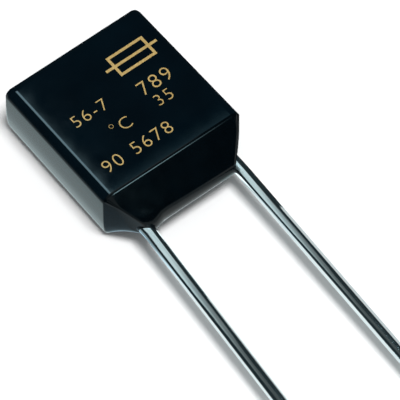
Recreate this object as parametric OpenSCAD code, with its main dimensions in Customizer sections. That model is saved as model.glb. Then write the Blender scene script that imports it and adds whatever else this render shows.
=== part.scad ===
// Radial-lead thermal fuse of the fusible-alloy kind, lying on its back with the leads towards -Y.
// The origin is the centre of the flat back of the case. Millimetres and degrees.

/* [Case] */
// Width of the case at its mouth
case_w = 7.3; // [7:0.1:10]
// Length of the case, from the closed end to the mouth
case_l = 7.05; // [6:0.05:10]
// Thickness of the case at its mouth
case_t = 3; // [2.7:0.1:4.5]
// Wall of the case
case_wall = 0.5; // [0.35:0.05:0.6]
// Rounding of the edges round the top and the back
edge_r = 0.45; // [0.3:0.05:0.7]
// Rounding of the two upright edges at the closed end
corner_r = 0.3; // [0.15:0.05:0.3]
// Draft of each long side, which narrows the case towards its closed end
side_draft = 0.6; // [0:0.1:1.5]
// Fall of the top face towards the closed end
top_draft = 1; // [0:0.1:2]

/* [Leads] */
// Diameter of the tinned lead outside the seal
lead_d = 0.6; // [0.4:0.05:0.65]
// Thickness of the tin on the lead outside the seal
tin = 0.02; // [0.01:0.005:0.03]
// Distance from the centre of each lead to the side of the case, at the mouth
lead_side = 1.15; // [1.05:0.05:1.5]
// Height of the lead centres above the back of the case
lead_z = 1.4; // [1.35:0.05:1.7]
// Straight length of each lead beyond its bend
lead_out = 30; // [12:1:70]
// Radius of the slight bend just outside the seal
lead_bend_r = 2; // [1:0.1:5]
// Lean of the left lead, away from the right one
left_lean = 4.1; // [0:0.1:12]
// Lean of the right lead, towards the left one
right_lean = 1.2; // [0:0.1:6]
// Height of the lead tips above the surface on which the case lies
tip_gap = 0.02; // [0.02:0.01:0.1]

/* [Seal] */
// Rounding of the resin along the rim of the mouth
rim_r = 0.15; // [0.1:0.05:0.25]
// How far the resin nose stands out of the mouth
nose_out = 1.55; // [1.4:0.05:2.5]
// Rounding radius of the resin nose
nose_r = 0.6; // [0.45:0.05:0.75]
// How far the resin nose stops short of each lead's centre
nose_inset = 0.25; // [0:0.05:0.6]
// Depth of the hollow in each side of the resin, from a line that runs the rim's rounding outside it
side_hollow = 0.25; // [0.2:0.05:0.35]
// How far the resin creeps along the leads beyond the nose
collar_out = 0.15; // [0.05:0.05:0.5]
// Thickness of the resin film at the end of each collar
collar_lip = 0.05; // [0.04:0.01:0.1]
// Radius to which the hollow flank of each collar widens at the mouth
collar_base_r = 0.85; // [0.6:0.05:0.9]
// Distance from the mouth to the foot of each collar, inside the resin
collar_foot = 0.2; // [0.1:0.05:0.4]
// Depth of resin inside the mouth
plug_depth = 1.8; // [1:0.1:2.4]

/* [Fuse element] */
// Diameter of the fusible alloy rod
link_d = 0.8; // [0.7:0.05:0.9]
// Distance from the closed end's inner face to the middle of the rod
link_back = 1.9; // [1.2:0.1:2.4]
// Thickness of the flux coat round the rod
flux_coat = 0.35; // [0.2:0.05:0.45]

/* [Hidden] */
$fn = 48;
// Length by which a cutting shape runs past what it cuts
cut_over = 1;
// Thickness of the slices that carry the rounded outline at the mouth
slice = 0.02;
// Length of bare wire that runs on inside the tin of the bend
wire_lap = 0.1;
// Turn between the outlines that round the resin off at the rim
rim_step = 15;
// Places along Y
mouth_y = -case_l / 2;
closed_y = case_l / 2;
end_round_y = closed_y - edge_r;
plug_y = mouth_y + plug_depth;
link_y = closed_y - case_wall - link_back;
nose_y = mouth_y - nose_out + nose_r;
collar_y = mouth_y - nose_out - collar_out;
// Places across
mouth_x = case_w / 2;
lead_x = mouth_x - lead_side;
lead_r = lead_d / 2;
nose_x = lead_x - nose_inset;
wire_r = lead_r - tin;
// Slope that brings the lead tips down to the surface on which the case lies
lead_drop = asin((lead_z - tip_gap) / norm([lead_out, lead_r])) - atan2(lead_r, lead_out);

// Half width of the case at a place along Y
function side_x(y) = mouth_x - (y - mouth_y) * tan(side_draft);

// Height of the top face of the case at a place along Y
function top_z(y) = case_t - (y - mouth_y) * tan(top_draft);

// Centres of the four rounded corners of the case outline at a place along Y
function corners(y) =
    [for (side = [-1, 1], z = [edge_r, top_z(y) - edge_r]) [side * (side_x(y) - edge_r), y, z]];

// A rod along Y, from y0 to y1, centred at x and at the height of the leads
module rod_y(x, y0, y1, r) {
    translate([x, y1, lead_z]) rotate([90, 0, 0]) cylinder(r = r, h = y1 - y0);
}

// A rod along X, centred at y and at the height of the leads
module rod_x(y, r, length) {
    translate([0, y, lead_z]) rotate([0, 90, 0]) cylinder(r = r, h = length, center = true);
}

// A block drawn in by inset at the sides and by rise at the back and the top, from y0 to y1
module drafted_block(inset, rise, y0, y1) {
    x0 = side_x(y0) - inset;
    x1 = side_x(y1) - inset;
    intersection() {
        translate([0, 0, rise]) linear_extrude(case_t) polygon([[-x0, y0], [x0, y0], [x1, y1], [-x1, y1]]);
        rotate([90, 0, 90]) linear_extrude(2 * case_w, center = true)
            polygon([[y0, 0], [y1, 0], [y1, top_z(y1) - rise], [y0, top_z(y0) - rise]]);
    }
}

// The rounded outline of the case at a place along Y, drawn in by inset, as four thin discs
module outline_discs(y, inset) {
    r = edge_r - inset;
    for (c = corners(y)) translate(c) rotate([90, 0, 0]) cylinder(r = r, h = slice, center = true);
}

// The two upright rounded edges at the closed end
module upright_edges() {
    y = closed_y - corner_r;
    for (side = [-1, 1]) translate([side * (side_x(y) - corner_r), y, edge_r])
        cylinder(r = corner_r, h = top_z(closed_y) - 2 * edge_r);
}

// Outside of the case, run on past the mouth: drafted faces, all edges rounded
module case_outside() {
    start_y = mouth_y - cut_over;
    hull() {
        outline_discs(start_y, 0);
        drafted_block(edge_r, 0, start_y, end_round_y);
        drafted_block(0, edge_r, start_y, closed_y - corner_r);
        drafted_block(corner_r, edge_r, start_y, closed_y);
        upright_edges();
        for (c = corners(end_round_y)) translate(c) rotate([90, 0, 0]) sphere(edge_r);
    }
}

module case() {
    color([0.06, 0.07, 0.08]) difference() {
        case_outside();
        drafted_block(case_wall, case_wall, mouth_y - 3 * cut_over, closed_y - case_wall);
        translate([-case_w, mouth_y - 2 * cut_over, -case_t]) cube([2 * case_w, 2 * cut_over, 3 * case_t]);
    }
}

// A tall rod that hollows one side of the resin between the rim and the nose
module hollow_rod(side) {
    rim = [mouth_x, mouth_y - rim_r];
    tip = [nose_x, mouth_y - nose_out - rim_r];
    chord = tip - rim;
    rod_r = (pow(norm(chord) / 2, 2) + pow(side_hollow, 2)) / (2 * side_hollow);
    centre = (rim + tip) / 2 + [-chord.y, chord.x] / norm(chord) * (rod_r - side_hollow);
    translate([side * centre.x, centre.y, -case_t]) cylinder(r = rod_r, h = 3 * case_t, $fn = 4 * $fn);
}

// Resin heaped over the rim: rounded off at the rim, then falling on all sides to a blunt nose
module resin_heap() {
    difference() {
        hull() {
            outline_discs(mouth_y + cut_over, 0);
            for (t = [0 : rim_step : 90]) outline_discs(mouth_y - rim_r * sin(t), rim_r * (1 - cos(t)));
            rod_x(nose_y, nose_r, 2 * nose_x);
        }
        translate([-case_w, mouth_y, -case_t]) cube([2 * case_w, case_l, 3 * case_t]);
        for (side = [-1, 1]) hollow_rod(side);
    }
}

// Resin that creeps along a lead at x, with a hollow flank that would reach collar_base_r at the mouth
module resin_collar(x) {
    tip_r = wire_r + collar_lip;
    rise = nose_out + collar_out;
    flank_r = (pow(rise, 2) + pow(collar_base_r - tip_r, 2)) / (2 * (collar_base_r - tip_r));
    translate([x, collar_y, lead_z]) rotate([-90, 0, 0]) rotate_extrude() difference() {
        square([collar_base_r, rise - collar_foot]);
        translate([tip_r + flank_r, 0]) circle(flank_r, $fn = 4 * $fn);
    }
}

module sealing_resin() {
    color([0.05, 0.06, 0.07]) difference() {
        union() {
            resin_heap();
            drafted_block(case_wall, case_wall, mouth_y, plug_y);
            for (x = [-lead_x, lead_x]) resin_collar(x);
        }
        for (x = [-lead_x, lead_x]) rod_y(x, collar_y - cut_over, plug_y + cut_over, wire_r);
    }
}

// A lead: bare and straight in the resin, then tinned, with a slight bend and a straight run to its tip
module lead(x, lean) {
    turn = acos(cos(lead_drop) * cos(lean));
    roll = atan2(sin(lead_drop), cos(lead_drop) * sin(lean));
    rod_y(x, collar_y - wire_lap, link_y, wire_r);
    translate([x, collar_y, lead_z]) rotate([0, -roll, 0]) translate([-lead_bend_r, 0, 0])
        rotate([0, 0, -turn]) {
            rotate_extrude(angle = turn) translate([lead_bend_r, 0]) circle(lead_r);
            translate([lead_bend_r, 0, 0]) rotate([90, 0, 0]) cylinder(r = lead_r, h = lead_out);
        }
}

module left_lead() {
    color([0.8, 0.82, 0.83]) lead(-lead_x, left_lean);
}

module right_lead() {
    color([0.8, 0.82, 0.83]) lead(lead_x, right_lean);
}

// Alloy rod across the two lead ends, which sit in it as far as its middle
module fusible_link() {
    color([0.6, 0.61, 0.62]) difference() {
        rod_x(link_y, link_d / 2, 2 * lead_x + lead_d);
        for (x = [-lead_x, lead_x]) rod_y(x, plug_y, link_y, wire_r);
    }
}

// Flux round the alloy rod, from one side wall to the other
module flux() {
    color([0.75, 0.55, 0.25]) difference() {
        intersection() {
            rod_x(link_y, link_d / 2 + flux_coat, case_w);
            drafted_block(case_wall, case_wall, plug_y, closed_y - case_wall);
        }
        rod_x(link_y, link_d / 2, 2 * lead_x + lead_d);
        for (x = [-lead_x, lead_x]) rod_y(x, plug_y, link_y, wire_r);
    }
}

case();
sealing_resin();
left_lead();
right_lead();
fusible_link();
flux();
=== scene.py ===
import math

import bmesh
import bpy
from bmesh.types import BMEdge, BMFace, BMVert
from mathutils import Matrix, Vector


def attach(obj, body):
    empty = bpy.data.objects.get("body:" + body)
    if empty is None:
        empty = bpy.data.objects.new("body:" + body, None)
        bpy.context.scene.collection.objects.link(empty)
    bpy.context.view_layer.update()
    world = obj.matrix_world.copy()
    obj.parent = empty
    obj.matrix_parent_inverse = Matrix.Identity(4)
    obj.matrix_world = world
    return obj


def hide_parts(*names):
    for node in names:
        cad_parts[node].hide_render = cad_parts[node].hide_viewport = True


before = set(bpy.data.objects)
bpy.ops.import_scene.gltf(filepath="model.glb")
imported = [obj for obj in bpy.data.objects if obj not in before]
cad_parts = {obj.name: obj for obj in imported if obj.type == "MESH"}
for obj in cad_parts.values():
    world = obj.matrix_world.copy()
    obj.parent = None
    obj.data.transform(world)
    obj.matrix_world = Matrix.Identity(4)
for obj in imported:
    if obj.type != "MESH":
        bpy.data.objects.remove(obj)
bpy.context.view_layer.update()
mm = 0.001
joinGap = 1e-4  # points that are closer than this, in millimetres, become one
print("frame loaded, nodes:", sorted(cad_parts))

# sizes shared by the pieces, in millimetres and degrees
fuse = {
    "caseWidth": 7.3,
    "caseLength": 7.05,
    "caseThick": 3.0,
    "wall": 0.5,
    "edgeRadius": 0.45,
    "sideDraft": 0.6,
    "topFall": 1.0,
    "leadZ": 1.4,
    "leadX": 2.5,
    "rimBack": 0.03,
}
mouthY = -fuse["caseLength"] / 2
rimY = mouthY + fuse["rimBack"]  # where the case ends and the resin's rounding starts
closedY = fuse["caseLength"] / 2


def sideX(y):
    return fuse["caseWidth"] / 2 - (y - mouthY) * math.tan(math.radians(fuse["sideDraft"]))


def topZ(y):
    return fuse["caseThick"] - (y - mouthY) * math.tan(math.radians(fuse["topFall"]))


def addObject(name, data):
    thing = bpy.data.objects.new(name, data)
    bpy.context.scene.collection.objects.link(thing)
    return thing


# what an object's modifiers or its text make of it, as a bmesh; the object itself goes
def takeMesh(holder):
    bpy.context.view_layer.update()
    mesh = bpy.data.meshes.new_from_object(holder.evaluated_get(bpy.context.evaluated_depsgraph_get()))
    bpy.data.objects.remove(holder)
    bm = bmesh.new()
    bm.from_mesh(mesh)
    return bm


def only(kind, geom):
    return [g for g in geom if isinstance(g, kind)]


# extrudes an outline and gives the new points and the edges between them
def growEdges(bm, edges):
    grown = bmesh.ops.extrude_edge_only(bm, edges=edges)["geom"]
    points = only(BMVert, grown)
    return points, [e for e in only(BMEdge, grown) if all(v in points for v in e.verts)]


# extrudes faces and gives the new points and the new faces
def growFaces(bm, faces):
    grown = bmesh.ops.extrude_face_region(bm, geom=faces)["geom"]
    return only(BMVert, grown), only(BMFace, grown)


# turns a bmesh drawn in millimetres into a finished piece at the origin
def makePiece(name, bm, material, smooth=True, sharpAngle=35):
    bmesh.ops.scale(bm, vec=(mm, mm, mm), verts=bm.verts)
    for face in bm.faces:
        face.smooth = smooth
    mesh = bpy.data.meshes.new(name)
    bm.to_mesh(mesh)
    bm.free()
    if smooth:
        mesh.set_sharp_from_angle(angle=math.radians(sharpAngle))
    piece = addObject(name, mesh)
    mesh.materials.append(material)
    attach(piece, "root")
    return piece


# flat faces keep one normal and roundings take the bend
def weighNormals(piece):
    weigh = piece.modifiers.new("flatFaces", "WEIGHTED_NORMAL")
    weigh.keep_sharp = True
    weigh.weight = 100


# the part of a noise's range over which a colour or a roughness runs from its low to its high end
noiseRange = (0.3, 0.7)


class Nodes:
    def __init__(self, name):
        self.material = bpy.data.materials.new(name)
        self.material.use_nodes = True
        self.tree = self.material.node_tree
        self.shader = self.tree.nodes["Principled BSDF"]

    def add(self, kind):
        return self.tree.nodes.new(kind)

    def link(self, out, into):
        self.tree.links.new(out, into)

    def place(self, stretch=(1, 1, 1)):
        coord = self.add("ShaderNodeTexCoord")
        mapping = self.add("ShaderNodeMapping")
        mapping.inputs["Scale"].default_value = stretch
        self.link(coord.outputs["Object"], mapping.inputs["Vector"])
        return mapping.outputs["Vector"]

    def noise(self, size, detail=2, stretch=(1, 1, 1)):
        noise = self.add("ShaderNodeTexNoise")
        noise.inputs["Scale"].default_value = 1 / (size * mm)
        noise.inputs["Detail"].default_value = detail
        self.link(self.place(stretch), noise.inputs["Vector"])
        return noise.outputs["Fac"]

    def spread(self, fac, low, high):
        ranged = self.add("ShaderNodeMapRange")
        ranged.inputs["From Min"].default_value = low
        ranged.inputs["From Max"].default_value = high
        self.link(fac, ranged.inputs["Value"])
        return ranged

    def colour(self, fac, dark, light):
        ramp = self.add("ShaderNodeValToRGB")
        for stop, spot, shade in zip(ramp.color_ramp.elements, noiseRange, (dark, light)):
            stop.position = spot
            stop.color = (*shade, 1)
        self.link(fac, ramp.inputs["Fac"])
        self.link(ramp.outputs["Color"], self.shader.inputs["Base Color"])

    def roughness(self, fac, smooth, rough):
        ranged = self.spread(fac, *noiseRange)
        ranged.inputs["To Min"].default_value = smooth
        ranged.inputs["To Max"].default_value = rough
        self.link(ranged.outputs["Result"], self.shader.inputs["Roughness"])

    def bump(self, fac, height):
        bump = self.add("ShaderNodeBump")
        bump.inputs["Strength"].default_value = 1.0
        bump.inputs["Distance"].default_value = height * mm
        self.link(fac, bump.inputs["Height"])
        self.link(bump.outputs["Normal"], self.shader.inputs["Normal"])

    def set(self, name, value):
        self.shader.inputs[name].default_value = value


# glossy black moulding and resin: faint flow marks in the colour, a little orange peel
glossNoise = {"flowDetail": 4, "roughDetail": 3, "roughSplit": 3, "peelDetail": 1}
caseFinish = {
    "dark": (0.0005, 0.0026, 0.0048),
    "light": (0.0008, 0.0042, 0.0074),
    "flowSize": 2.4,
    "peelSize": 0.35,
    "peelHeight": 0.0004,
    "rough": (0.05, 0.09),
    "ior": 1.42,
}
resinFinish = {
    "dark": (0.0001, 0.001, 0.0018),
    "light": (0.0004, 0.002, 0.0034),
    "flowSize": 1.4,
    "peelSize": 0.5,
    "peelHeight": 0.0003,
    "rough": (0.1, 0.16),
    "ior": 1.35,
}
collarFinish = {**resinFinish, "rough": (0.34, 0.44), "ior": 1.5}


def blackGloss(name, s):
    g = glossNoise
    n = Nodes(name)
    n.colour(n.noise(s["flowSize"], g["flowDetail"]), s["dark"], s["light"])
    n.roughness(n.noise(s["flowSize"] / g["roughSplit"], g["roughDetail"]), *s["rough"])
    n.bump(n.noise(s["peelSize"], g["peelDetail"]), s["peelHeight"])
    n.set("IOR", s["ior"])
    return n.material


# bright tin on drawn wire: long faint die lines and a soft mottle
tinFinish = {
    "dark": (0.60, 0.66, 0.68),
    "light": (0.74, 0.79, 0.80),
    "mottleSize": 0.5,
    "mottleDetail": 3,
    "mottleStretch": (1, 0.2, 1),
    "lineSize": 0.06,
    "lineDetail": 2,
    "lineStretch": (1, 0.02, 1),
    "lineHeight": 0.0004,
    "rough": (0.07, 0.14),
}


def brightTin(name, s):
    n = Nodes(name)
    n.colour(n.noise(s["mottleSize"], s["mottleDetail"], s["mottleStretch"]), s["dark"], s["light"])
    lines = n.noise(s["lineSize"], s["lineDetail"], s["lineStretch"])
    n.roughness(lines, *s["rough"])
    n.bump(lines, s["lineHeight"])
    n.set("Metallic", 1.0)
    return n.material


# gold-coloured printing ink, slightly uneven where it was stamped, and the hidden pieces' grey alloy and amber rosin
inkFinish = {
    "dark": (0.36, 0.235, 0.07),
    "light": (0.52, 0.36, 0.125),
    "grain": 0.09,
    "detail": 3,
    "roughGrain": 0.18,
    "rough": (0.35, 0.55),
    "metallic": 0.0,
}
alloyFinish = {
    "dark": (0.34, 0.35, 0.36),
    "light": (0.52, 0.53, 0.54),
    "grain": 0.25,
    "detail": 4,
    "roughGrain": 0.1,
    "rough": (0.3, 0.5),
    "metallic": 1.0,
}
rosinFinish = {
    "dark": (0.36, 0.16, 0.03),
    "light": (0.55, 0.3, 0.08),
    "grain": 0.5,
    "detail": 3,
    "roughGrain": 0.2,
    "rough": (0.15, 0.35),
    "metallic": 0.0,
}


def grained(name, s):
    n = Nodes(name)
    n.colour(n.noise(s["grain"], s["detail"]), s["dark"], s["light"])
    n.roughness(n.noise(s["roughGrain"]), *s["rough"])
    n.set("Metallic", s["metallic"])
    return n.material


caseBlack = blackGloss("caseBlack", caseFinish)
resinBlack = blackGloss("resinBlack", resinFinish)
collarBlack = blackGloss("collarBlack", collarFinish)
tinned = brightTin("tinnedWire", tinFinish)
ink = grained("goldInk", inkFinish)
print("materials made")


# case: a drafted box with rounded edges, open at the mouth and drawn in below a soft parting line
caseShell = {"uprightRadius": 0.3, "roundSteps": 8, "endWall": 0.5, "endZone": 1.0}
parting = {"high": 1.2, "low": 0.75, "draft": 5.5, "slack": 0.01}


# how far a point at height z is drawn in below the parting line
def drawnIn(z):
    middle = (parting["high"] + parting["low"]) / 2
    if z > parting["high"] - parting["slack"]:
        return 0.0
    return max(middle - z, 0) * math.tan(math.radians(parting["draft"]))


# rounds the marked edges, each by its own share of the radius
def roundEdges(bm, radius, steps):
    mesh = bpy.data.meshes.new("rounding")
    bm.to_mesh(mesh)
    bm.free()
    holder = addObject("rounding", mesh)
    bevel = holder.modifiers.new("rounding", "BEVEL")
    bevel.limit_method = "WEIGHT"
    bevel.width = radius
    bevel.segments = steps
    bevel.profile = 0.5
    bevel.use_clamp_overlap = False
    return takeMesh(holder)


# inside of the case at its mouth
innerX = sideX(mouthY) - fuse["wall"]
innerTop = fuse["caseThick"] - fuse["wall"]


# closes a mouth outline inwards: a lip in the plane of the mouth, then a straight run to endY and a flat end
def fillInwards(bm, rim, endY, endScale=1.0, endDrop=0.0):
    lip, innerRim = growEdges(bm, rim)
    for v in lip:
        v.co.x = max(-innerX, min(innerX, v.co.x))
        v.co.z = max(fuse["wall"], min(innerTop, v.co.z))
    deep = growEdges(bm, innerRim)[0]
    for v in deep:
        v.co.y = endY
        v.co.x *= endScale
        if v.co.z > fuse["leadZ"]:
            v.co.z -= endDrop
    bmesh.ops.remove_doubles(bm, verts=bm.verts, dist=joinGap)
    bmesh.ops.contextual_create(bm, geom=[e for e in bm.edges if e.is_boundary])


def buildCase():
    s = caseShell
    bm = bmesh.new()
    bmesh.ops.create_cube(bm, size=1)
    for v in bm.verts:
        y = closedY if v.co.y > 0 else rimY
        v.co = Vector((math.copysign(sideX(y), v.co.x), y, topZ(y) if v.co.z > 0 else 0))
    weight = bm.edges.layers.float.new("bevel_weight_edge")
    for e in bm.edges:
        run = e.verts[1].co - e.verts[0].co
        if any(v.co.y > 0 for v in e.verts):
            upright = abs(run.z) > abs(run.x) + abs(run.y)
            e[weight] = s["uprightRadius"] / fuse["edgeRadius"] if upright else 1
    mouth = min(bm.faces, key=lambda f: f.calc_center_median().y)
    bmesh.ops.delete(bm, geom=[mouth], context="FACES_ONLY")
    bm = roundEdges(bm, fuse["edgeRadius"], s["roundSteps"])
    for z in (parting["high"], parting["low"]):
        bmesh.ops.bisect_plane(bm, geom=list(bm.verts) + list(bm.edges) + list(bm.faces), plane_co=(0, 0, z),
                               plane_no=(0, 0, 1))
    for v in bm.verts:
        v.co.x -= math.copysign(drawnIn(v.co.z), v.co.x)
        if v.co.y > closedY - s["endZone"]:
            v.co.y -= drawnIn(v.co.z)
    endY = closedY - s["endWall"]
    endScale = (sideX(endY) - fuse["wall"]) / innerX
    fillInwards(bm, [e for e in bm.edges if e.is_boundary], endY, endScale, fuse["caseThick"] - topZ(endY))
    bmesh.ops.recalc_face_normals(bm, faces=bm.faces)
    piece = makePiece("caseShell", bm, caseBlack)
    weighNormals(piece)
    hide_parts("case")


buildCase()
print("case built")


# resin: rounded at the rim, flat above, hollowed underneath, falling to a blunt nose that is fuller at the left
# and creeps along the inner side of the left lead; -1 is the left side and 1 the right; hollowEnd and slopeEnd are
# shares of noseOut, leastLow of the height above the leads and mostRound of the whole height
seal = {
    "rimRadius": 0.22,
    "rimTurn": 45,
    "noseOut": 1.58,
    "noseRadius": {-1: 0.85, 1: 0.5},
    "noseHalf": {-1: 2.6, 1: 2.25},
    "narrowFrom": 0.05,
    "creep": 0.16,
    "creepX": -2.15,
    "creepWidth": 0.7,
    "creepPower": 9,
    "hollow": 0.2,
    "hollowEnd": 0.85,
    "leastLow": 0.2,
    "plugDepth": 1.8,
    "slopeEnd": 0.82,
    "rimSteps": 7,
    "slopeSteps": 12,
    "noseSteps": 12,
    "cornerSteps": 6,
    "foldRadius": 0.1,
    "foldFrom": 0.6,
    "lowRadius": 0.45,
    "mostRound": 0.45,
    "sharpAngle": 32,
    # shares of the way at which the top, left, lower and right runs between the corners get points
    "between": ((0.5, 0.74, 0.8, 0.86, 0.92, 0.96), (0.62, 0.83), (0.04, 0.08, 0.14, 0.2, 0.26, 0.5), (0.17, 0.38)),
}


# height of the slope over the lead axis at a distance out, for a face that starts at rise above the axis
def slopeRise(out, rise, nose):
    rim = seal["rimRadius"]
    centre = seal["noseOut"] - nose
    reach = math.hypot(centre, rise - rim)
    tilt = math.atan2(rise - rim, centre) - math.asin((nose - rim) / reach)
    rimEnd = rim * math.sin(tilt)
    noseStart = centre + nose * math.sin(tilt)
    if out < rimEnd:
        return rise - rim + math.sqrt(rim ** 2 - out ** 2)
    if out > noseStart:
        return math.sqrt(max(nose ** 2 - (out - centre) ** 2, 0))
    start = rise - rim + rim * math.cos(tilt)
    return start + (nose * math.cos(tilt) - start) * (out - rimEnd) / (noseStart - rimEnd)


# corners of the outline at a distance out, as (side, up, radius, height of the face)
def sealCorners(out):
    s = seal
    fade = max(1 - out / s["foldFrom"], 0)
    fold = s["foldRadius"] + (fuse["edgeRadius"] - s["foldRadius"]) * fade
    lift = s["hollow"] * math.sin(math.pi * min(out / (s["hollowEnd"] * s["noseOut"]), 1))
    corners = []
    for side, up in ((1, 1), (-1, 1), (-1, -1), (1, -1)):
        nose = s["noseRadius"][side]
        top = slopeRise(out, topZ(rimY) - fuse["leadZ"], nose)
        low = slopeRise(out, fuse["leadZ"], nose) - lift
        low = max(low, s["leastLow"] * top)
        radius = min(fold if up > 0 else s["lowRadius"], s["mostRound"] * (top + low))
        corners.append((side, up, radius, fuse["leadZ"] + (top if up > 0 else -low)))
    return corners


# how far the resin runs on along the left lead at a place across
def creepAt(x):
    away = min(abs(x - seal["creepX"]) / seal["creepWidth"], 1)
    return seal["creep"] * 0.5 * (1 + math.cos(math.pi * away))


def sealRing(out):
    s = seal
    share = min(max(out - s["narrowFrom"], 0) / (s["noseOut"] - s["narrowFrom"]), 1)
    half = {side: nose + (sideX(rimY) - nose) * (1 - share) for side, nose in s["noseHalf"].items()}
    arcs = []
    for quarter, (side, up, radius, face) in enumerate(sealCorners(out)):
        turns = [math.radians(90 * (quarter + step / s["cornerSteps"])) for step in range(s["cornerSteps"] + 1)]
        arcs.append([(side * (half[side] - radius) + radius * math.cos(turn), face + radius * (math.sin(turn) - up))
                     for turn in turns])
    places = []
    for quarter, arc in enumerate(arcs):
        (x0, z0), (x1, z1) = arc[-1], arcs[(quarter + 1) % 4][0]
        places += arc + [(x0 + (x1 - x0) * t, z0 + (z1 - z0) * t) for t in s["between"][quarter]]
    taper = max(1 - out / s["noseOut"], 0)
    creepShare = (1 - taper) ** s["creepPower"]
    return [Vector((x - math.copysign(drawnIn(z) * taper, x), rimY - out - creepAt(x) * creepShare, z))
            for x, z in places]


def buildSeal():
    s = seal
    outs = [s["rimRadius"] * math.sin(math.radians(s["rimTurn"] * i / s["rimSteps"]))
            for i in range(s["rimSteps"] + 1)]
    slopeEnd = s["slopeEnd"] * s["noseOut"]
    outs += [outs[-1] + (slopeEnd - outs[-1]) * (i + 1) / s["slopeSteps"] for i in range(s["slopeSteps"])]
    outs += [slopeEnd + (s["noseOut"] - slopeEnd) * math.sin(math.radians(90 * (i + 1) / s["noseSteps"]))
             for i in range(s["noseSteps"])]
    bm = bmesh.new()
    ring = bmesh.ops.create_circle(bm, cap_ends=False, segments=len(sealRing(0)), radius=1)["verts"]
    rim = edges = list(bm.edges)
    for v, place in zip(ring, sealRing(0)):
        v.co = place
    for out in outs[1:]:
        before = {tuple(v.co): i for i, v in enumerate(ring)}
        grown, edges = growEdges(bm, edges)
        ring = sorted(grown, key=lambda v: before[tuple(v.co)])
        for v, place in zip(ring, sealRing(out)):
            v.co = place
    bmesh.ops.remove_doubles(bm, verts=ring, dist=joinGap)  # the last outline has no height, so this closes the nose
    fillInwards(bm, rim, mouthY + s["plugDepth"])
    bmesh.ops.recalc_face_normals(bm, faces=bm.faces)
    piece = makePiece("sealCap", bm, resinBlack, sharpAngle=s["sharpAngle"])
    weighNormals(piece)
    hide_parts("sealing_resin")


# meniscus up each lead: rings round the wire that thin out, and run further and wider on the inner side
collar = {
    # how far out of the mouth, radius, and share by which the inner side is wider
    "rings": (
        (0.9, 0.38, 0.1),
        (1.2, 0.352, 0.15),
        (1.4, 0.334, 0.15),
        (1.52, 0.32, 0.08),
        (1.6, 0.311, 0.03),
        (1.64, 0.304, 0.0),
    ),
    "slant": 0.26,
    "topRun": 0.06,
    "sides": 48,
    "sharpAngle": 50,
    "leftBack": 0.0,
    "rightBack": 0.42,
}


def buildCollar(name, x, back):
    s = collar
    inner = -math.copysign(1, x)
    bm = bmesh.new()
    ring = bmesh.ops.create_circle(bm, cap_ends=True, segments=s["sides"], radius=1)["verts"]
    angles = [math.atan2(v.co.y, v.co.x) for v in ring]
    end = list(bm.faces)
    for index, (out, radius, flare) in enumerate(s["rings"]):
        if index:
            before = {tuple(v.co): i for i, v in enumerate(ring)}
            grown, newEnd = growFaces(bm, end)
            ring = sorted(grown, key=lambda v: before[tuple(v.co)])
            if index > 1:
                bmesh.ops.delete(bm, geom=end, context="FACES_ONLY")  # only the first and the last end stay
            end = newEnd
        for v, a in zip(ring, angles):
            inwards = inner * math.cos(a)
            run = out - back + s["slant"] * inwards + s["topRun"] * max(math.sin(a), 0)
            wide = radius * (1 + flare * max(inwards, 0) ** 2)
            v.co = Vector((x + wide * math.cos(a), mouthY - run, fuse["leadZ"] + wide * math.sin(a)))
    bmesh.ops.recalc_face_normals(bm, faces=bm.faces)
    makePiece(name, bm, collarBlack, sharpAngle=s["sharpAngle"])


buildSeal()
buildCollar("leftCollar", -fuse["leadX"], collar["leftBack"])
buildCollar("rightCollar", fuse["leadX"], collar["rightBack"])
print("seal built")


# leads: round wire, straight in the seal, one slight bend, then straight down to the cut tip
lead = {
    "radius": 0.3,
    "sides": 40,
    "startY": 1.0,
    "bendOut": 1.7,
    "bendRadius": 2.0,
    "bendSteps": 6,
    "length": 30.0,
    "leftLean": 4.1,
    "rightLean": 1.2,
    "tipGap": 0.02,
    "burr": 0.04,
    "burrSteps": 2,
}


def buildLead(name, node, x, lean):
    s = lead
    r = s["radius"]
    bendY = mouthY - s["bendOut"]
    straight = s["startY"] - bendY
    drop = math.asin((fuse["leadZ"] - s["tipGap"]) / math.hypot(s["length"], r)) - math.atan2(r, s["length"])
    leanRad = math.radians(lean)
    turn = math.acos(math.cos(drop) * math.cos(leanRad))
    roll = math.atan2(math.sin(drop), math.cos(drop) * math.sin(leanRad))
    bm = bmesh.new()
    bmesh.ops.create_circle(bm, cap_ends=True, segments=s["sides"], radius=r)
    bmesh.ops.rotate(bm, verts=bm.verts, cent=(0, 0, 0), matrix=Matrix.Rotation(math.radians(90), 3, "X"))
    bmesh.ops.translate(bm, verts=bm.verts, vec=(0, straight, 0))
    points, end = growFaces(bm, list(bm.faces))
    bmesh.ops.translate(bm, verts=points, vec=(0, -straight, 0))
    bent = bmesh.ops.spin(bm, geom=end, cent=(-s["bendRadius"], 0, 0), axis=(0, 0, 1), angle=-turn,
                          steps=s["bendSteps"], use_merge=False)["geom_last"]
    bmesh.ops.delete(bm, geom=end, context="FACES_ONLY")  # what was an end is now inside the wire
    end = only(BMFace, bent)
    points, tip = growFaces(bm, end)
    bmesh.ops.delete(bm, geom=end, context="FACES_ONLY")
    away = Vector((-math.sin(turn), -math.cos(turn), 0)) * s["length"]
    bmesh.ops.translate(bm, verts=points, vec=away)
    bmesh.ops.bevel(bm, geom=list(tip[0].edges), offset=s["burr"], offset_type="OFFSET", affect="EDGES",
                    segments=s["burrSteps"], profile=0.5, material=-1)
    bmesh.ops.rotate(bm, verts=bm.verts, cent=(0, 0, 0), matrix=Matrix.Rotation(-roll, 3, "Y"))
    bmesh.ops.translate(bm, verts=bm.verts, vec=(x, bendY, fuse["leadZ"]))
    bmesh.ops.recalc_face_normals(bm, faces=bm.faces)
    piece = makePiece(name, bm, tinned)
    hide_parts(node)


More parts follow.
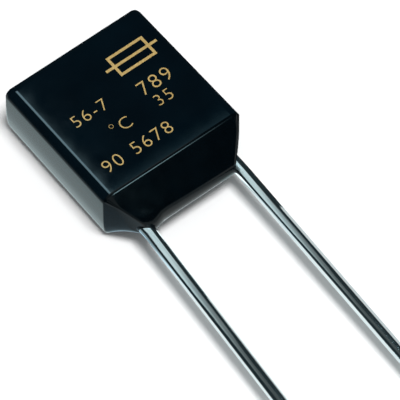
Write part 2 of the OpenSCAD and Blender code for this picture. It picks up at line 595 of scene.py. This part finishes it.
buildLead("leftWire", "left_lead", -fuse["leadX"], lead["leftLean"])
buildLead("rightWire", "right_lead", fuse["leadX"], lead["rightLean"])
hiddenPieces = {"fusible_link": grained("linkAlloy", alloyFinish), "flux": grained("fluxRosin", rosinFinish)}
for node, material in hiddenPieces.items():
    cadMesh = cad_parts[node].data
    cadMesh.materials.clear()
    cadMesh.materials.append(material)
print("leads built")


# print on the top face: plain numerals with strokes drawn in by thinner, a unit sign and a fuse symbol
printing = {
    "thick": 0.012,
    "thinner": 0.014,
    "curveSteps": 6,
    "fontScale": 1.42,
    "spacing": 1.18,
    "letterGap": 1e-5,
    # words, place of their middle and height
    "lines": (
        ("56-7", -1.45, 0.24, 0.62),
        ("°C", -0.78, -1.1, 0.62),
        ("90", -2.22, -2.4, 0.66),
        ("5678", -0.14, -2.38, 0.66),
        ("789", 1.74, -0.18, 0.72),
        ("35", 1.54, -1.05, 0.6),
    ),
    "symbol": {"x": 1.75, "y": 1.48, "long": 2.7, "box": (1.8, 1.0), "stroke": 0.13},
}


# lays a flat mesh drawn in the face's own plane onto the falling top face
def layOnTop(bm):
    fall = math.radians(fuse["topFall"])
    bmesh.ops.rotate(bm, verts=bm.verts, cent=(0, 0, 0), matrix=Matrix.Rotation(-fall, 3, "X"))
    bmesh.ops.translate(bm, verts=bm.verts, vec=(0, 0, topZ(0)))


def printLine(index, words, x, y, height):
    curve = bpy.data.curves.new("line", "FONT")
    curve.body = words
    curve.align_x = "CENTER"
    curve.align_y = "CENTER"
    curve.size = height * printing["fontScale"]
    curve.space_character = printing["spacing"]
    curve.extrude = printing["thick"] / 2
    curve.offset = -printing["thinner"]
    curve.resolution_u = printing["curveSteps"]
    bm = takeMesh(addObject("line", curve))
    bmesh.ops.remove_doubles(bm, verts=bm.verts, dist=printing["letterGap"])
    bmesh.ops.translate(bm, verts=bm.verts, vec=(x, y, printing["thick"] / 2))
    layOnTop(bm)
    makePiece("print%d" % index, bm, ink, smooth=False)


# a grid whose lines are moved to the edges of the strokes, so that the inked cells make the symbol
def printSymbol():
    s = printing["symbol"]
    wide, high = s["box"]
    edge = s["stroke"] / 2
    columns = (-s["long"] / 2, -wide / 2 - edge, -wide / 2 + edge, wide / 2 - edge, wide / 2 + edge, s["long"] / 2)
    rows = (-high / 2 - edge, -high / 2 + edge, -edge, edge, high / 2 - edge, high / 2 + edge)
    inked = (".###.", ".#.#.", "#####", ".#.#.", ".###.")
    cells = len(inked)
    bm = bmesh.new()
    bmesh.ops.create_grid(bm, x_segments=cells, y_segments=cells, size=cells / 2)
    blank = []
    for f in bm.faces:
        middle = f.calc_center_median()
        if inked[int(middle.y + cells / 2)][int(middle.x + cells / 2)] == ".":
            blank.append(f)
    for v in bm.verts:
        v.co.x = s["x"] + columns[round(v.co.x + cells / 2)]
        v.co.y = s["y"] + rows[round(v.co.y + cells / 2)]
    bmesh.ops.delete(bm, geom=blank, context="FACES")
    points = growFaces(bm, list(bm.faces))[0]
    bmesh.ops.translate(bm, verts=points, vec=(0, 0, printing["thick"]))
    bmesh.ops.recalc_face_normals(bm, faces=bm.faces)
    layOnTop(bm)
    makePiece("printSymbol", bm, ink, smooth=False)


for index, (words, x, y, height) in enumerate(printing["lines"]):
    printLine(index, words, x, y, height)
printSymbol()
print("print laid")


# white floor that takes the shadow, and cards that stand for it in the gloss, on the camera's side of the fuse; some
# cards are darker or brighter in places than the lit floor, which paints shade and highlights into the reflections
floor = {"half": 4.0, "white": 0.94, "cardStep": 0.001}  # half is in metres; each card lies a step above the last
floorCards = {
    # fades dark away from the fuse to the left: painted shade in the floor's reflection
    "floorWhite": {
        "outline": ((-2.9, 3.5), (-9.4, 12.6), (-14, 12.6), (-14, -60), (45, -60)),
        "level": 1.0,
        "tint": (0.72, 0.9, 0.92),
        "fade": {"axis": "X", "from": -14, "to": -4.4, "stops": ((0.0, 0.05), (0.55, 0.2), (0.83, 0.5), (1.0, 1.0))},
    },
    # brighter close to the case: a painted reflection that lightens the bottom of the case's left face
    "caseFootPaintedSheen": {
        "outline": ((-3.4, -3.6), (-3.4, 4.5), (-4.4, 4.5), (-4.4, -3.6)),
        "level": 1.0,
        "tint": (0.74, 0.9, 0.92),
        "fade": {"axis": "X", "from": -4.4, "to": -3.4, "stops": ((0.0, 1.0), (0.2, 1.0), (0.55, 1.35))},
    },
    # dim next to the seal: painted shade, the part's contact shadow as the seal's left facet reflects it
    "sealFootPaintedShade": {
        "outline": ((-2.5, -4.7), (-2.5, -3.62), (-9, -3.62), (-9, -4.7)),
        "level": 1.0,
        "tint": (0.66, 0.93, 1.08),
        "fade": {"axis": "X", "from": -5.2, "to": -3.1, "stops": ((0.0, 0.4), (0.5, 0.45), (0.8, 0.7), (1.0, 1.1))},
    },
    # darker near the seal and brighter further out: painted shade and a painted brighter reflection on the lower
    # seal and the left lead's root
    "rootFloorPaintedShadeAndSheen": {
        "outline": ((-2.5, -6.5), (-2.5, -4.7), (-9, -4.7), (-9, -6.5)),
        "level": 1.0,
        "tint": (0.76, 0.96, 1.04),
        "fade": {"axis": "Y", "from": -6.5, "to": -4.7, "stops": ((0.0, 1.3), (0.5, 1.0), (1.0, 0.45))},
    },
    "leadFloor": {
        "outline": ((2.2, -5.5), (-2.5, -5.5), (-2.5, -6.5), (-9, -6.5), (-9, -30), (2.5, -30)),
        "level": 1.15,
        "tint": (0.92, 1.0, 1.0),
    },
    # brightest under the nose: a painted highlight along the nose's lower edge, where the real floor lies in the
    # nose's shadow
    "noseFootPaintedHighlight": {
        "outline": ((2.0, -5.5), (2.0, -3.5), (-1.3, -3.5), (-1.3, -5.5)),
        "level": 1.0,
        "tint": (0.88, 0.98, 1.0),
        "fade": {"axis": "Y", "from": -5.5, "to": -4.3, "stops": ((0.0, 0.8), (0.5, 0.85), (0.75, 1.8), (1.0, 2.4))},
    },
    "rightWall": {
        "outline": ((5, -16, 0), (5, -6.8, 0), (5, -6.8, 3.0), (5, -16, 3.0)),
        "level": 0.8,
        "tint": (0.95, 1.0, 1.0),
    },
    "rightFloor": {
        "outline": ((2.9, -7), (2.9, -40), (30, -40), (30, -7)),
        "level": 0.8,
        "tint": (0.95, 1.0, 1.0),
    },
    # nearly black: painted shade in the reflection of the floor to the right of the seal
    "rightFootPaintedShade": {
        "outline": ((3.5, -6.5), (6.0, -6.5), (6.0, -3.0), (3.5, -3.0)),
        "level": 0.06,
        "tint": (0.85, 0.97, 1.0),
    },
}


def stageMesh(name, bm, material, **seen):
    mesh = bpy.data.meshes.new(name)
    bm.to_mesh(mesh)
    bm.free()
    mesh.materials.append(material)
    piece = addObject(name, mesh)
    for kind, value in seen.items():
        setattr(piece, "visible_" + kind, value)


# a flat card that only shows in the gloss; a spot without a height of its own lies at the card's
def glossCard(name, outline, height, material):
    bm = bmesh.new()
    ring = bmesh.ops.create_circle(bm, cap_ends=True, segments=len(outline), radius=1)["verts"]
    for v, spot in zip(ring, outline):
        v.co = Vector((spot[0], spot[1], spot[2] if len(spot) > 2 else height)) * mm
    stageMesh(name, bm, material, camera=False, diffuse=False, shadow=False, transmission=False)


# light of one level, or of levels that fade along an axis
def glow(name, level, tint, fade):
    n = Nodes(name)
    light = n.add("ShaderNodeEmission")
    light.inputs["Color"].default_value = (*tint, 1)
    light.inputs["Strength"].default_value = level
    if fade:
        split = n.add("ShaderNodeSeparateXYZ")
        ramp = n.add("ShaderNodeValToRGB")
        n.link(n.place(), split.inputs["Vector"])
        along = n.spread(split.outputs[fade["axis"]], fade["from"] * mm, fade["to"] * mm)
        n.link(along.outputs["Result"], ramp.inputs["Fac"])
        stops = ramp.color_ramp.elements
        stops.remove(stops[1])
        for index, (spot, value) in enumerate(fade["stops"]):
            stop = stops.new(spot) if index else stops[0]
            stop.position = spot
            stop.color = (*(value * part for part in tint), 1)
        n.link(ramp.outputs["Color"], light.inputs["Color"])
    n.link(light.outputs["Emission"], n.tree.nodes["Material Output"].inputs["Surface"])
    return n.material


def buildFloor():
    bm = bmesh.new()
    bmesh.ops.create_grid(bm, x_segments=1, y_segments=1, size=floor["half"])
    n = Nodes("floorWhite")
    n.set("Roughness", 1.0)
    n.set("Specular IOR Level", 0.0)
    n.set("Base Color", (*(floor["white"],) * 3, 1))
    stageMesh("floor", bm, n.material, glossy=False)
    for index, (name, s) in enumerate(floorCards.items()):
        glossCard(name, s["outline"], floor["cardStep"] * index, glow(name, s["level"], s["tint"], s.get("fade")))


# dim surroundings with a white backdrop behind
surround = {"dim": (0.02, 0.03, 0.034), "white": (1, 1, 1)}


def buildWorld():
    world = bpy.data.worlds.new("studio")
    bpy.context.scene.world = world
    world.use_nodes = True
    tree = world.node_tree
    back = tree.nodes["Background"]
    path = tree.nodes.new("ShaderNodeLightPath")
    mix = tree.nodes.new("ShaderNodeMix")
    mix.data_type = "RGBA"
    mix.inputs["A"].default_value = (*surround["dim"], 1)
    mix.inputs["B"].default_value = (*surround["white"], 1)
    tree.links.new(path.outputs["Is Camera Ray"], mix.inputs["Factor"])
    tree.links.new(mix.outputs["Result"], back.inputs["Color"])


# a soft key from above that casts the shadow, a wide fill, and cards overhead that show in the gloss
suns = {
    "key": {"power": 2.75, "angle": 20, "from": (0.01, -0.25, 1)},
    "fill": {"power": 0.95, "angle": 160, "from": (0, 0, 1)},
}
cards = {
    "overhead": {
        "outline": (
            (8.6, 4.7), (-8, 4.6), (-17, 6.5), (-30, 11), (-38, 13), (-30, 6), (-20, 0), (-18, -6), (-15, -16),
            (-3, -16), (0, -6), (4, -1), (8.6, 2.2),
        ),
        "height": 20.0,
        "level": 1.0,
        "tint": (0.84, 1.0, 1.02),
        "fade": {
            "axis": "Y",
            "from": -8.0,
            "to": 4.0,
            "stops": ((0.0, 0.1), (0.33, 0.25), (0.56, 0.52), (0.8, 0.86), (1.0, 0.9)),
        },
    },
    "overheadDim": {
        "outline": ((8.6, 2.2), (4, -1), (0, -6), (4, -6), (8.6, -3)),
        "height": 20.0,
        "level": 0.2,
        "tint": (0.84, 1.0, 1.02),
    },
    "farOverhead": {
        "outline": ((2, -16), (-40, -16), (-40, -45), (2, -45)),
        "height": 20.0,
        "level": 0.45,
        "tint": (0.84, 1.0, 1.02),
    },
    "highSky": {
        "outline": ((60, 20), (-60, 20), (-60, -50), (60, -50)),
        "height": 200.0,
        "level": 0.9,
        "tint": (0.9, 1.0, 1.02),
    },
    "frontWall": {
        "outline": ((-120, -100, 0), (120, -100, 0), (120, -100, 25), (-120, -100, 25)),
        "level": 0.6,
        "tint": (0.85, 1.0, 1.02),
    },
    "leftEdge": {
        "outline": ((4.4, 4.9), (4.4, 13), (-4, 13), (-4, 4.9)),
        "height": 20.0,
        "level": 5.2,
        "tint": (0.6, 0.95, 1.08),
        "fade": {
            "axis": "X",
            "from": 3.2,
            "to": 4.2,
            "stops": (
                (0.0, 1.0), (0.12, 0.95), (0.2, 0.28), (0.29, 0.1), (0.4, 0.042),
                (0.5, 0.02), (0.65, 0.008), (0.85, 0.0),
            ),
        },
    },
    "frontGlow": {
        "outline": ((3.4, 4.72), (10.6, 4.72), (10.6, 7), (3.4, 7)),
        "height": 19.95,
        "level": 1.0,
        "tint": (0.45, 0.9, 1.08),
        "fade": {
            "axis": "Y",
            "from": 5.5,
            "to": 7.0,
            "stops": ((0.0, 1.0), (0.22, 0.9), (0.3, 0.55), (0.38, 0.28), (0.46, 0.13), (0.58, 0.05), (0.75, 0.0)),
        },
    },
    "frontEdge": {
        "outline": ((12.5, -19.5), (12.5, -13.5), (2.5, -13.5), (2.5, -19.5)),
        "height": 19.9,
        "level": 14.0,
        "tint": (0.6, 0.96, 1.06),
        "fade": {"axis": "X", "from": 3.0, "to": 12.0, "stops": ((0.0, 1.0), (0.4, 0.85), (0.7, 0.4), (1.0, 0.1))},
    },
}


def buildLights():
    for name, s in suns.items():
        lamp = bpy.data.lights.new(name, "SUN")
        lamp.energy = s["power"]
        lamp.angle = math.radians(s["angle"])
        holder = addObject(name, lamp)
        holder.rotation_euler = Vector(s["from"]).to_track_quat("Z", "Y").to_euler()
        holder.visible_glossy = False
    for name, s in cards.items():
        glossCard(name, s["outline"], s.get("height"), glow(name, s["level"], s["tint"], s.get("fade")))


# camera at the photograph's angle, far off with a long lens
view = {
    "azimuth": -37.93,
    "elevation": 57.22,
    "target": (0.178, -5.285, 1.4),
    "distance": 500.0,
    "pxPerMm": 23.608,
    "pictureWidth": 400,
    "sensorWidth": 36,
    "clip": (0.01, 50),  # metres
}


def buildCamera():
    s = view
    a, e = math.radians(s["azimuth"]), math.radians(s["elevation"])
    towards = Vector((math.sin(a) * math.cos(e), -math.cos(a) * math.cos(e), math.sin(e)))
    cam = bpy.data.cameras.new("camera")
    cam.sensor_width = s["sensorWidth"]
    cam.lens = cam.sensor_width * s["distance"] * s["pxPerMm"] / s["pictureWidth"]
    cam.clip_start, cam.clip_end = s["clip"]
    holder = addObject("camera", cam)
    holder.location = (Vector(s["target"]) + towards * s["distance"]) * mm
    holder.rotation_euler = towards.to_track_quat("Z", "Y").to_euler()
    bpy.context.scene.camera = holder


buildFloor()
buildWorld()
buildLights()
buildCamera()
bpy.context.scene.view_settings.view_transform = "Standard"
print("stage set")
